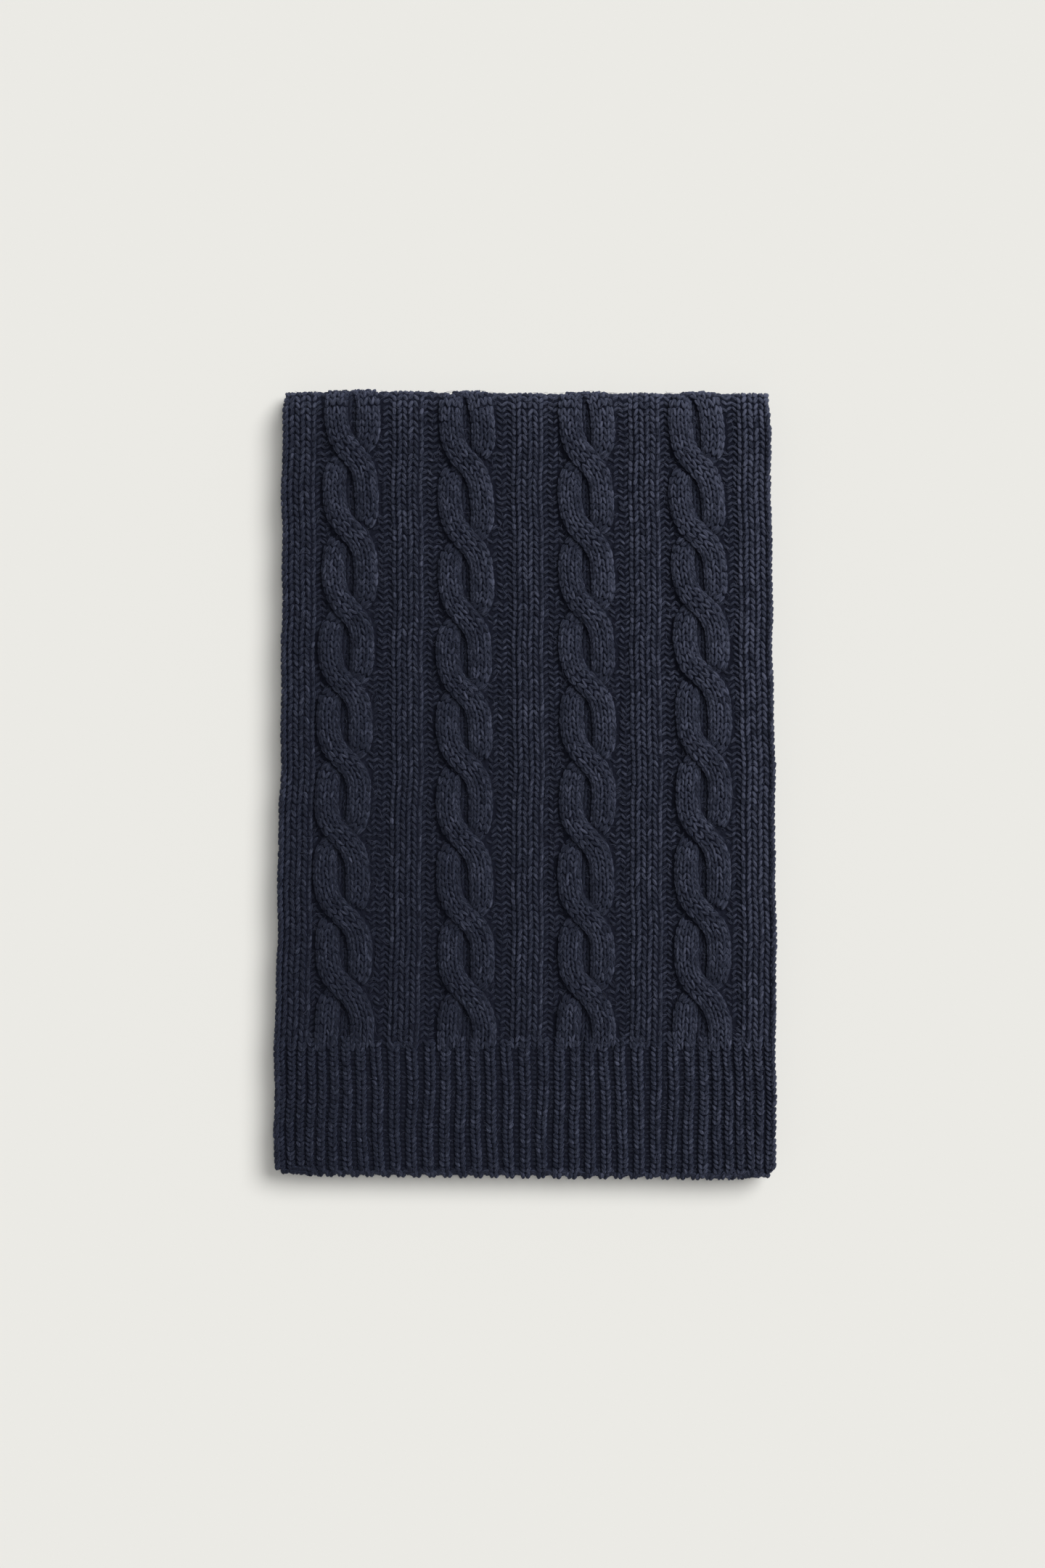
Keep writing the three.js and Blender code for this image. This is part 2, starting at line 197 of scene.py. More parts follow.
def strand_path(from_hem, cable, strand):
    """A strand's place across and its slope, how high its top and its sides are, and its half width.

    It crosses in front from upper left to lower right, and twelve rows on goes back behind the other one.
    """
    def wrap(phase):
        return phase - 2 * CABLE_PITCH * np.round(phase / 2 / CABLE_PITCH)

    def middle(phase):
        in_front, behind = wrap(phase), wrap(phase - CABLE_PITCH)
        return np.where(
            np.abs(in_front) <= CABLE_PITCH / 2,
            swing(in_front, -1, STRAND_TURN["in front"]), swing(behind, 1, STRAND_TURN["behind"]))

    cable_middle, above = cable_course(from_hem, cable)
    # From half a pitch under the first crossing down to the hem the strands run straight
    phase = np.maximum(above, -CABLE_PITCH / 2) - strand * CABLE_PITCH
    slope = middle(phase + 0.5) - middle(phase - 0.5)
    in_front = np.abs(wrap(phase))
    behind = np.abs(wrap(phase - CABLE_PITCH))
    top = STRAND_TOP + STRAND_OVER * np.exp(-((in_front / 11) ** 2)) - STRAND_UNDER * np.exp(-((behind / 7) ** 2))
    top = top * mix(JOIN["level"], 1, smooth((from_hem - HEM_LENGTH + JOIN["under"]) / JOIN["over"]))
    spread = LAST_SPREAD * (1 - strand) * smooth((14 - CABLE_PITCH / 2 - above) / 16)
    side = STRAND_LIFT * np.exp(-((in_front / 10) ** 2)) * smooth((from_hem - HEM_LENGTH) / 8)
    narrow = 1 - STRAND_NARROWS["by"] * np.exp(-((behind / STRAND_NARROWS["over"]) ** 2))
    return cable_middle + middle(phase) + spread, slope, top, side, STRAND_HALF_WIDTH * narrow


def strand_back(away):
    """Rounded section of a strand, from 1 at its middle to 0 at its sides, where away is 1."""
    return np.sqrt(np.clip(1 - away**2, 0, 1))


def strand_rise(q, from_hem, cable, strand):
    """Height over the gutters of one strand at any place."""
    centre, slope, top, side, half_width = strand_path(from_hem, cable, strand)
    away = (q - centre) / np.sqrt(1 + slope**2) / half_width
    return mix(side, top, strand_back(away)) * (np.abs(away) < 1)


def from_behind(from_hem, cable, strand):
    """How far a place on a strand is from the nearest crossing at which the strand goes behind."""
    turns = (cable_course(from_hem, cable)[1] / CABLE_PITCH - strand + 1) / 2
    return 2 * CABLE_PITCH * np.abs(turns - np.round(turns))


def cable_rise(q, from_hem):
    rise = np.zeros(np.broadcast(q, from_hem).shape)
    for cable in CABLES:
        for strand in (0, 1):
            rise = np.maximum(rise, strand_rise(q, from_hem, cable, strand))
    return rise


def rib_places():
    """Crest and pitch of each rib, from the left side to the right one."""
    rib = np.arange(RIBS_BESIDE_MIDDLE + 1)
    pitch = mix(RIB_PITCH, RIB_PITCH_AT_EDGE, smooth((rib - RIBS_NARROW["from"]) / RIBS_NARROW["over"]))
    pitch *= NOMINAL_WIDTH / 2 / (pitch.sum() - pitch[0] / 2)
    crest = np.concatenate([[0], np.cumsum((pitch[1:] + pitch[:-1]) / 2)])
    return np.concatenate([-crest[:0:-1], crest]), np.concatenate([pitch[:0:-1], pitch])


def ribs_drawn(q, from_hem):
    """How far the cables draw the ribs' upper ends towards themselves."""
    return RIBS_DRAWN * np.sin(2 * np.pi * q / CABLE_SPACING) * smooth(from_hem / HEM_LENGTH)


def rib_height(q, from_hem):
    crests, pitches = rib_places()
    q = q - ribs_drawn(q, from_hem)
    nearest = np.abs(np.asarray(q)[..., None] - crests).argmin(-1)
    share = (q - crests[nearest]) / pitches[nearest]
    rounded = np.clip(0.5 + 0.5 * np.cos(2 * np.pi * share), 0, 1) ** 0.6
    return mix(RIB_VALLEY, GROUND + PLAIN_RISE, rounded)


def knit_height(q, from_hem):
    """Height of the knit's surface over the plain inside, before the fold and the sides press it.

    The ribs end a little higher under the cables than between them.
    """
    body = GROUND + np.maximum(plain_rise(q), cable_rise(q, from_hem))
    from_cable = np.abs(np.abs(np.abs(q) - CABLE_SPACING) - CABLE_SPACING / 2)
    under_cable = smooth((CABLE_HALF_WIDTH - from_cable) / 6)
    return mix(rib_height(q, from_hem), body, smooth((from_hem - HEM_LENGTH + 2 - 3 * under_cable) / 7))


def painted_hollow_shade(q, from_hem, height):
    """How deep a place lies among what stands around it, from 0 to 1, to darken the tone there: painted shade in
    hollows and creases.
    """
    over = 0.0
    for turn in np.arange(8) * np.pi / 4:
        for reach in (2.5, 5.5):
            around = knit_height(q + reach * np.cos(turn), from_hem + reach * np.sin(turn))
            over = over + np.clip((around - height) / reach, 0, 1.5) / 16
    return np.clip(over / 0.42, 0, 1)


def pressed(q, from_hem, height):
    """The height once the sides round it off and the far fold flattens it."""
    from_side = NOMINAL_WIDTH / 2 - np.abs(q)
    height = height - SIDE_DROP["by"] * (1 - smooth(from_side / SIDE_DROP["over"]))
    height = mix(EDGE_HEIGHT, height, np.sqrt(1 - (1 - np.clip(from_side / EDGE_ROUND, 0, 1)) ** 2))
    turned = np.clip((from_hem - FLAT_LENGTH) / FOLD_LENGTH, 0, 1)
    kept = np.where(
        turned < 0.5,
        mix(1, FOLD_RELIEF, smooth(2 * turned) ** 2),
        FOLD_RELIEF * (1 - smooth(2 * turned - 1)),
    )
    return mix(FOLD_SURFACE, height, kept)


def folded(x, from_hem, height):
    """Places of points that lie at a height over the top ply's plain inside, round the hem and the far fold."""
    from_hem, height = np.broadcast_arrays(from_hem, height)
    turn = np.clip((from_hem - FLAT_LENGTH) / FOLD_LENGTH, 0, 1) * np.pi
    past = np.clip(from_hem - FLAT_LENGTH - FOLD_LENGTH, 0, None)
    round_y = FOLD_Y + (FOLD_RADIUS + height) * np.sin(turn) - past
    round_z = FOLD_Z + (FOLD_RADIUS + height) * np.cos(turn)
    over = height - HEM_AXIS["height"]
    hem_turn = np.clip(HEM_AXIS["from_hem"] - from_hem, 0, None) / HEM_AXIS["height"]
    hem_y = HEM_AXIS["from_hem"] - HALF - over * np.sin(hem_turn)
    hem_z = INNER_Z + HEM_AXIS["height"] + over * np.cos(hem_turn)
    flat = from_hem <= FLAT_LENGTH
    at_hem = from_hem < HEM_AXIS["from_hem"]
    from_bulge = (x - FOLD_BULGE["at"]) / FOLD_BULGE["over"]
    bulge = FOLD_BULGE["all over"] + FOLD_BULGE["most"] * np.exp(-(from_bulge**2))
    skew = HEM_SKEW * x * (1 - smooth(from_hem / HEM_LENGTH))
    y = np.where(flat, np.where(at_hem, hem_y, from_hem - HALF), round_y)
    y = y + bulge * smooth((from_hem - FLAT_LENGTH + 30) / 30) - skew
    z = np.where(flat, np.where(at_hem, hem_z, INNER_Z + height), round_z)
    return np.stack(np.broadcast_arrays(x, y, z), -1)


def top_surface(depth):
    """The knit's surface of the top ply, this deep under its highest points, as a function of place."""
    def place(q, from_hem):
        height = pressed(q, from_hem, knit_height(q, from_hem)) - depth
        return folded(across(q, from_hem), from_hem, height)
    return place


def on_strand(cable, strand, depth, angle, from_hem):
    """Place across, distance from the hem and height at an angle over a strand's rounded back."""
    centre, slope, top, side, half_width = strand_path(from_hem, cable, strand)
    norm = np.sqrt(1 + slope**2)
    away = np.sin(angle)
    aside = (half_width - 0.7 * depth) * away
    height = GROUND + mix(side, top, strand_back(away)) - depth * np.cos(angle)
    return centre + aside / norm, from_hem - aside * slope / norm, height


def strand_surface(cable, strand, depth):
    """One strand's surface: an angle over its rounded back, and the distance from the hem."""
    def place(angle, from_hem):
        q, along, height = on_strand(cable, strand, depth, angle, from_hem)
        return folded(across(q, along), along, pressed(q, along, height + depth) - depth)
    return place


# The whole scarf's middle line, for the edges that show at the sides

def ply_path():
    """Middle of the cloth from the hem on top to the hem under it, as evenly spaced points along Y and Z.

    Returns the length along it, the points, and the lengths at which each stretch ends.
    """
    arc = np.linspace(0, np.pi, 40)
    outer, inner = FOLD_RADIUS + FOLD_WALL / 2, PLY / 2
    stretches = [
        [(HEM_AXIS["from_hem"] - HALF, INNER_Z + FOLD_WALL / 2), (FOLD_Y, INNER_Z + FOLD_WALL / 2)],
        np.stack([FOLD_Y + outer * np.sin(arc), FOLD_Z + outer * np.cos(arc)], -1),
        [(FOLD_Y, FOLD_Z - outer), (NEAR_NOSE_Y, PLY / 2)],
        np.stack([NEAR_NOSE_Y - inner * np.sin(arc), PLY - inner * np.cos(arc)], -1),
        [(NEAR_NOSE_Y, 1.5 * PLY), (FOLD_Y, 1.5 * PLY)],
        np.stack([FOLD_Y + inner * np.sin(arc), FOLD_Z - inner * np.cos(arc)], -1),
        [(FOLD_Y, 2.5 * PLY), (SECOND_HEM_Y, 2.5 * PLY)],
    ]
    points, ends, total = [], [], 0.0
    for stretch in stretches:
        stretch = np.array(stretch, float)
        steps = np.concatenate([[0], np.cumsum(np.hypot(*np.diff(stretch, axis=0).T))])
        fine = np.arange(0, steps[-1], 0.5)
        points.append(np.stack([np.interp(fine, steps, stretch[:, i]) for i in (0, 1)], -1))
        total += steps[-1]
        ends.append(total)
    points = np.concatenate(points)
    along = np.concatenate([[0], np.cumsum(np.hypot(*np.diff(points, axis=0).T))])
    return along, points, ends


PATH_ALONG, PATH_POINTS, PATH_ENDS = ply_path()


def on_path(along):
    """Point of the middle line and the direction in which the right side of the cloth faces there."""
    def at(t):
        return np.stack([np.interp(t, PATH_ALONG, PATH_POINTS[:, i]) for i in (0, 1)], -1)
    step = at(along + 0.6) - at(along - 0.6)
    step /= np.linalg.norm(step, axis=-1, keepdims=True) + 1e-9
    return at(along), np.stack([-step[..., 1], step[..., 0]], -1)


def ply_inset(along, side):
    """How far the edge of the ply at this length lies inside the top one's."""
    ends = PATH_ENDS
    inset = np.interp(along, [ends[0], ends[1], ends[2], ends[3], ends[4], ends[5]], [0, 1.2, 1.4, 2.0, 1.8, 0.9])
    wave = 0.5 * np.sin(along / 23.0 + side) + 0.35 * np.sin(along / 9.1 + 2 * side)
    shows = np.exp(-(((along - ends[1] - 8) / 7) ** 2)) if side > 0 else 0
    return inset + np.where(along > ends[0], wave, 0) - 3.0 * shows


def edge_surface(side, half_thickness, bulge):
    """The rounded edge of the cloth at one side: an angle over it, and the length along the whole scarf."""
    def place(angle, along):
        point, out = on_path(along)
        from_hem = point[..., 0] + HALF
        edge = across(side * NOMINAL_WIDTH / 2, from_hem)
        lift = half_thickness * np.sin(angle)
        x = edge - side * (ply_inset(along, side) + bulge * (1 - np.cos(angle)))
        y = point[..., 0] + out[..., 0] * lift
        z = point[..., 1] + out[..., 1] * lift
        return np.stack(np.broadcast_arrays(x, y, z), -1)
    return place


# Yarn and how it is laid

def yarn_leg(sides, rings, bend=0.0, arch=0.0, full=0.35):
    """A short length of yarn that tapers at both ends, one unit long, wide and thick, as points, faces and UVs.

    bend lifts its middle off the cloth, and arch curves it in the cloth's plane, both as shares of its size.
    full makes it thicker between its middle and its ends.
    """
    bm = bmesh.new()
    layer = bm.loops.layers.uv.new("UVMap")
    bmesh.ops.create_uvsphere(bm, u_segments=sides, v_segments=rings, radius=0.5, calc_uvs=True)
    for vert in bm.verts:
        fuller = 1 + full * (1 - abs(2 * vert.co.z)) * (abs(2 * vert.co.z) > 0.2)
        vert.co.x *= fuller
        vert.co.y *= fuller
    bmesh.ops.rotate(bm, verts=bm.verts, matrix=Matrix.Rotation(-np.pi / 2, 3, "X"))
    for vert in bm.verts:
        crown = 0.25 - vert.co.y**2
        vert.co.z += bend * crown
        vert.co.x += arch * crown
    bmesh.ops.triangulate(bm, faces=bm.faces)
    bmesh.ops.recalc_face_normals(bm, faces=bm.faces)
    bm.verts.index_update()
    points = np.array([vert.co for vert in bm.verts])
    faces = np.array([[vert.index for vert in face.verts] for face in bm.faces])
    uvs = np.array([[loop[layer].uv for loop in face.loops] for face in bm.faces])
    bm.free()
    return points, faces, uvs


def lay(surface, places, rows, lean, size, rng, step=0.3, dip=0.18, spread=1.0, depth=0.0):
    """Frames of yarn legs on a surface: middle, width, length and thickness vectors, and a tone for each.

    lean turns a leg from the direction of the rows, and dip lets its upper end sink under the next one. Where the
    knit is stretched, as round the far fold, a leg is stretched with it.
    size is width, length and thickness in millimetres. depth, from 0 to 1, makes the tone darker: painted shade;
    below 0 it makes the tone lighter: painted light.
    """
    places, rows, lean, depth = (
        np.asarray(v, float).ravel() for v in np.broadcast_arrays(places, rows, lean, depth))
    count = len(places)
    # painted light: legs along the far fold get a lighter tone
    painted_fold_light = FOLD_PAINTED_LIGHT["by"] * np.exp(-(((rows - FLAT_LENGTH - FOLD_LENGTH / 2) / FOLD_PAINTED_LIGHT["over"]) ** 2))
    rows = rows + rng.normal(0, 0.13 * spread, count)
    lean = lean + rng.normal(0, 0.06 * spread, count)
    middle = surface(places, rows)
    along = surface(places, rows + 0.8) - surface(places, rows - 0.8)
    aside = surface(places + step, rows) - surface(places - step, rows)
    drawn_out = np.linalg.norm(along, axis=1, keepdims=True)
    stretch = np.clip(drawn_out / 1.6, 1, 2) ** 0.6 - 1
    along /= drawn_out + 1e-9
    up = np.cross(aside, along)
    up /= np.linalg.norm(up, axis=1, keepdims=True) + 1e-9
    wide = np.cross(along, up)
    length = np.cos(lean)[:, None] * along + np.sin(lean)[:, None] * wide
    length, up = length - dip * up, up + dip * length
    width = np.cross(length, up)
    grow = rng.normal(1, 0.06, (3, count, 1))
    middle = middle + up * rng.normal(0, 0.1, (count, 1)) + width * rng.normal(0, 0.1, (count, 1))
    return {
        "middle": middle,
        "width": width * size[0] * grow[0] * (1 + stretch * np.abs(np.sin(lean))[:, None]),
        "length": length * size[1] * grow[1] * (1 + stretch * np.abs(np.cos(lean))[:, None]),
        "thickness": up * size[2] * grow[2],
        # the tone is random, darkened by depth (painted shade) and lifted along the far fold (painted light)
        "tone": np.clip(rng.normal(0.5, 0.17, count), 0, 1) * (1 - depth) + painted_fold_light,
    }


def kept(legs, mask):
    return {name: values[mask] for name, values in legs.items()}


def together(groups):
    return {name: np.concatenate([group[name] for group in groups]) for name in groups[0]}


def stitches(name, material, *kinds):
    """One piece made of many lengths of yarn, joined. Each kind is a set of legs and the yarn they are made of."""
    all_points, all_faces, all_uvs, all_tones = [], [], [], []
    first = 0
    for legs, (points, faces, uvs) in kinds:
        count = len(legs["middle"])
        placed = (
            legs["middle"][:, None, :]
            + points[None, :, 0:1] * legs["width"][:, None, :]
            + points[None, :, 1:2] * legs["length"][:, None, :]
            + points[None, :, 2:3] * legs["thickness"][:, None, :]
        )
        placed[..., 2] = np.maximum(placed[..., 2], OVER_FLOOR)
        all_points.append(placed.reshape(-1, 3) * MM)
        all_faces.append((faces[None] + (first + np.arange(count) * len(points))[:, None, None]).reshape(-1, 3))
        all_uvs.append(np.tile(uvs.reshape(-1), count))
        all_tones.append(np.repeat(legs["tone"], len(points)))
        first += count * len(points)
    mesh = bpy.data.meshes.new(name)
    mesh.from_pydata(np.concatenate(all_points), [], np.concatenate(all_faces))
    mesh.uv_layers.new(name="UVMap").uv.foreach_set("vector", np.concatenate(all_uvs))
    tone = mesh.attributes.new("tone", "FLOAT", "POINT")
    tone.data.foreach_set("value", np.concatenate(all_tones))
    return piece(name, mesh, material)


def piece(name, mesh, material, replaced=None):
    """An object of the scarf that rides on the root and takes the scarf's finish."""
    mesh.polygons.foreach_set("use_smooth", np.ones(len(mesh.polygons), bool))
    mesh.materials.append(material)
    made = bpy.data.objects.new(name, mesh)
    bpy.context.scene.collection.objects.link(made)
    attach(made, ROOT)
    if replaced:
        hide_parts(replaced)
    return made


def knit_rows(start, end, course):
    return np.arange(start + course / 2, end, course)


# Finishes

def add_node(tree, kind, inputs=None, **settings):
    """Adds a node. An input is a value, or another node's socket to link from."""
    made = tree.nodes.new(kind)
    for name, value in settings.items():
        setattr(made, name, value)
    for name, value in (inputs or {}).items():
        if isinstance(value, bpy.types.NodeSocket):
            tree.links.new(value, made.inputs[name])
        else:
            made.inputs[name].default_value = value
    return made


def empty_material(name):
    material = bpy.data.materials.new(name)
    material.use_nodes = True
    material.node_tree.nodes.clear()
    return material, material.node_tree


def wool_yarn(look):
    """Worsted wool, heathered and softly spun: matt, with lighter and darker fibres and a pale bloom at grazing
    angles from the loose ends. Fibres are 0.02 mm thick, so they are drawn some fifteen times coarser to show.
    """
    name = "heathered_worsted_wool_yarn"
    if name in bpy.data.materials:
        return bpy.data.materials[name]
    material, tree = empty_material(name)
    uv = add_node(tree, "ShaderNodeUVMap", uv_map="UVMap")
    tone = add_node(tree, "ShaderNodeAttribute", attribute_name="tone")
    drift = add_node(tree, "ShaderNodeMath", {0: tone.outputs["Fac"], 1: 91.7}, operation="MULTIPLY")
    around, along = look.leg_width * np.pi / look.fibre_width, look.leg_length / look.fibre_length
    stretched = add_node(
        tree, "ShaderNodeMapping",
        {"Vector": uv.outputs["UV"], "Scale": (around, along, 1), "Rotation": (0, 0, 0.35)})
    fibres = add_node(
        tree, "ShaderNodeTexNoise",
        {"Vector": stretched.outputs["Vector"], "W": drift.outputs["Value"], "Scale": 1.0, "Detail": 3.0,
         "Roughness": 0.65},
        noise_dimensions="4D")
    place = add_node(tree, "ShaderNodeTexCoord")
    patches = add_node(
        tree, "ShaderNodeTexNoise",
        {"Vector": place.outputs["Object"], "Scale": 1 / (look.patch_size * MM), "Detail": 2.0})
    by_leg = add_node(
        tree, "ShaderNodeMath", {0: tone.outputs["Fac"], 1: 0.24, 2: -0.12}, operation="MULTIPLY_ADD")
    by_patch = add_node(
        tree, "ShaderNodeMath", {0: patches.outputs["Fac"], 1: 0.12, 2: -0.06}, operation="MULTIPLY_ADD")
    mixed = add_node(
        tree, "ShaderNodeMath", {0: fibres.outputs["Fac"], 1: by_leg.outputs["Value"]}, operation="ADD")
    # painted light: the colour lightens towards the upper right, by look.paler for each metre across and half as much
    # towards the far fold
    sides = add_node(tree, "ShaderNodeSeparateXYZ", {"Vector": place.outputs["Object"]})
    to_right = add_node(
        tree, "ShaderNodeMath", {0: sides.outputs["X"], 1: look.paler, 2: by_patch.outputs["Value"]},
        operation="MULTIPLY_ADD")
    to_fold = add_node(
        tree, "ShaderNodeMath", {0: sides.outputs["Y"], 1: look.paler / 2, 2: to_right.outputs["Value"]},
        operation="MULTIPLY_ADD")
    blend = add_node(
        tree, "ShaderNodeMath", {0: mixed.outputs["Value"], 1: to_fold.outputs["Value"]}, operation="ADD")
    shades = add_node(tree, "ShaderNodeValToRGB", {"Fac": blend.outputs["Value"]})
    ramp = shades.color_ramp
    ramp.elements[0].position, ramp.elements[0].color = 0.30, linear(look.dark)
    ramp.elements[1].position, ramp.elements[1].color = 0.72, linear(look.light)
    ramp.elements.new(0.5).color = linear(look.middle)
    bump = add_node(
        tree, "ShaderNodeBump",
        {"Height": fibres.outputs["Fac"], "Strength": 0.8, "Distance": look.fibre_width * MM})
    shader = add_node(
        tree, "ShaderNodeBsdfPrincipled",
        {"Base Color": shades.outputs["Color"], "Normal": bump.outputs["Normal"], "Roughness": 0.9,
         "Specular IOR Level": 0.25, "Sheen Weight": look.bloom, "Sheen Roughness": 0.45,
         "Sheen Tint": linear(look.bloom_colour)})
    add_node(tree, "ShaderNodeOutputMaterial", {"Surface": shader.outputs["BSDF"]})
    return material


def knit_ground(look):
    """The same wool seen between and under the stitches, its colour painted darker: painted shade, as little light
    reaches it; with the knit's rows as a bump where no stitches are laid.
    """
    name = "wool_knit_ground"
    if name in bpy.data.materials:
        return bpy.data.materials[name]
    material, tree = empty_material(name)
    place = add_node(tree, "ShaderNodeTexCoord")
    rows = add_node(
        tree, "ShaderNodeTexWave",
        {"Vector": place.outputs["Object"], "Scale": 2 * np.pi / (20 * look.course * MM), "Distortion": 1.5,
         "Detail": 2.0, "Detail Scale": 40.0},
        bands_direction="Y")
    columns = add_node(
        tree, "ShaderNodeTexWave",
        {"Vector": place.outputs["Object"], "Scale": 2 * np.pi / (20 * look.wale / 2 * MM), "Distortion": 0.6,
         "Detail": 2.0, "Detail Scale": 40.0},
        bands_direction="X")
    knit = add_node(
        tree, "ShaderNodeMath", {0: rows.outputs["Fac"], 1: columns.outputs["Fac"]}, operation="MULTIPLY")
    shades = add_node(tree, "ShaderNodeValToRGB", {"Fac": knit.outputs["Value"]})
    shades.color_ramp.elements[0].color = linear(look.dark)
    shades.color_ramp.elements[1].color = linear(look.shade)
    bump = add_node(
        tree, "ShaderNodeBump", {"Height": knit.outputs["Value"], "Strength": 0.6, "Distance": 1.0 * MM})
    shader = add_node(
        tree, "ShaderNodeBsdfPrincipled",
        {"Base Color": shades.outputs["Color"], "Normal": bump.outputs["Normal"], "Roughness": 0.95,
         "Specular IOR Level": 0.2, "Sheen Weight": 0.15, "Sheen Roughness": 0.5,
         "Sheen Tint": linear(look.bloom_colour)})
    add_node(tree, "ShaderNodeOutputMaterial", {"Surface": shader.outputs["BSDF"]})
    return material


def matt_paper(look):
    """A seamless paper sweep: matt, off-white, with no visible grain from this far."""
    material, tree = empty_material("matt_backdrop_paper")
    place = add_node(tree, "ShaderNodeTexCoord")
    grain = add_node(
        tree, "ShaderNodeTexNoise", {"Vector": place.outputs["Object"], "Scale": 900.0, "Detail": 2.0})
    bump = add_node(
        tree, "ShaderNodeBump", {"Height": grain.outputs["Fac"], "Strength": 0.05, "Distance": 0.2 * MM})
    shader = add_node(
        tree, "ShaderNodeBsdfPrincipled",
        {"Base Color": linear(look.paper), "Normal": bump.outputs["Normal"], "Roughness": 0.95,
         "Specular IOR Level": 0.0})
    add_node(tree, "ShaderNodeOutputMaterial", {"Surface": shader.outputs["BSDF"]})
    return material


class KnitSettings(bpy.types.PropertyGroup):
    """Gauge, yarn and colours of the knit"""

    wale: bpy.props.FloatProperty(name="Stitch width", description="Width of a plain stitch, in mm", default=5.66)
    course: bpy.props.FloatProperty(name="Row height", description="Height of a plain row, in mm", default=3.59)
    rib_course: bpy.props.FloatProperty(name="Rib row height", description="Row height in the hem, in mm", default=2.77)
    leg_width: bpy.props.FloatProperty(name="Yarn width", description="Width of one leg of a stitch, in mm", default=2.25)
    leg_length: bpy.props.FloatProperty(name="Leg length", description="Length of one leg of a stitch, in mm", default=4.9)
    leg_depth: bpy.props.FloatProperty(name="Yarn thickness", description="Thickness of a leg, in mm", default=2.8)
    lean: bpy.props.FloatProperty(name="Lean", description="Slant of a leg", default=0.44, subtype="ANGLE")
    cable_lean: bpy.props.FloatProperty(name="Cable lean", description="Slant in cables", default=0.27, subtype="ANGLE")
    rib_lean: bpy.props.FloatProperty(name="Rib lean", description="Slant in the ribs", default=0.78, subtype="ANGLE")
    purl_lean: bpy.props.FloatProperty(name="Purl lean", description="Slant of purl bumps", default=0.66, subtype="ANGLE")
    fibre_width: bpy.props.FloatProperty(name="Fibre width", description="Drawn width of fibres, in mm", default=0.5)
    fibre_length: bpy.props.FloatProperty(name="Fibre length", description="Drawn length of fibres, in mm", default=2.2)
    fibres: bpy.props.IntProperty(name="Loose fibres", description="How many lie over the top ply", default=6000)
    patch_size: bpy.props.FloatProperty(name="Patch size", description="Size of paler patches, in mm", default=9.0)
    # painted light: the tone lightens towards the upper right, standing in for the light that falls stronger there
    paler: bpy.props.FloatProperty(
        name="Paler to one side", description="How the nap pales to the upper right, for each metre", default=0.33)
    dark: bpy.props.StringProperty(name="Dark fibres", description="sRGB hex", default="090c1a")
    middle: bpy.props.StringProperty(name="Wool", description="sRGB hex", default="212533")
    shade: bpy.props.StringProperty(name="Between stitches", description="sRGB hex", default="121522")
    light: bpy.props.StringProperty(name="Pale fibres", description="sRGB hex", default="53576a")
    bloom: bpy.props.FloatProperty(name="Bloom", description="Strength of the nap's sheen", default=0.25)
    bloom_colour: bpy.props.StringProperty(name="Bloom colour", description="sRGB hex", default="8e9ccc")
    seed: bpy.props.IntProperty(name="Seed", description="Seed of the stitches' unevenness", default=7)


class StageSettings(bpy.types.PropertyGroup):
    """Backdrop, light and camera"""

    paper: bpy.props.StringProperty(name="Paper", description="sRGB hex", default="ebeae5")
    key: bpy.props.FloatProperty(name="Key light", description="Strength of the soft key", default=2.34)
    key_size: bpy.props.FloatProperty(
        name="Key size", description="Angle that the soft key fills", default=0.62, subtype="ANGLE")
    overhead: bpy.props.FloatProperty(name="Overhead light", description="Strength of the light above", default=0.90)
    overhead_size: bpy.props.FloatProperty(
        name="Overhead size", description="Angle that the light above fills", default=0.3, subtype="ANGLE")
    fill: bpy.props.FloatProperty(name="Fill light", description="Strength of the even light", default=0.12)
    lens: bpy.props.FloatProperty(name="Lens", description="Focal length, in mm", default=85)
    frame_height: bpy.props.FloatProperty(
        name="Frame height", description="Height that the picture takes in at the scarf's top, in mm", default=899.25)


class ScarfOperator:
    """What the operators that make pieces of the scarf share"""

    bl_options = {"REGISTER", "UNDO"}

    def execute(self, context):
        look = context.scene.scarf_knit
        self.make(look, np.random.default_rng(look.seed + len(self.bl_idname)))
        return {"FINISHED"}


